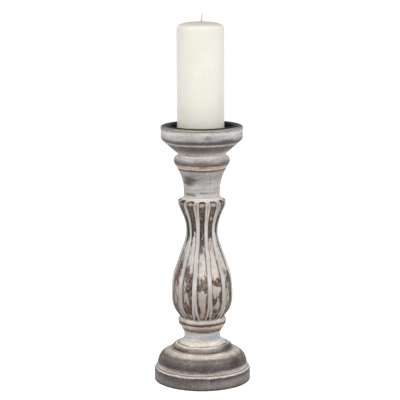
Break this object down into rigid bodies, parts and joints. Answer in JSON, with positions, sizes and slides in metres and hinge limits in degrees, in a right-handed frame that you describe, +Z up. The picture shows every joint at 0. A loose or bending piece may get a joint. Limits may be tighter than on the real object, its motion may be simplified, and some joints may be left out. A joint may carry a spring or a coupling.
{
  "type": "candlestick",
  "caption": "Tall turned and fluted wooden candlestick with a distressed whitewash, an iron pan with a pricket, and a pillar candle that lifts off.",
  "frame": {"origin": "centre of the felt underside, on the surface the candlestick stands on", "axes": "+Z up along the turning axis, -Y towards the side shown in front"},
  "size_m": [0.1428, 0.1428, 0.544],
  "materials": {
    "washed_wood": "distressed matt whitewash over umber brown",
    "base_wood": "grey-brown distressed matt paint with visible grain",
    "black_iron": "black lacquered sheet",
    "zinc_steel": "zinc plated",
    "ivory_wax": "satin wax",
    "cotton": "braided cotton",
    "felt": "pressed felt"
  },
  "bodies": {
    "candlestick": {"felt_pad": "felt", "turned_base": "base_wood", "pedestal": "washed_wood", "fluted_baluster": "washed_wood", "upper_neck": "washed_wood", "candle_cup": "washed_wood", "drip_pan": "black_iron", "pricket_spike": "black_iron", "pan_screws": "black_iron", "tie_rod": "zinc_steel", "foot_washer": "zinc_steel", "foot_spring_washer": "zinc_steel", "foot_nut": "zinc_steel", "cup_washer": "zinc_steel", "cup_nut": "zinc_steel"},
    "candle": {"candle_wax": "ivory_wax", "candle_wick": "cotton"}
  },
  "joints": [
    {"name": "candle_lift", "type": "slide", "parent": "candlestick", "child": "candle", "axis": [0, 0, 1], "range_m": [0, 0.06]}
  ]
}
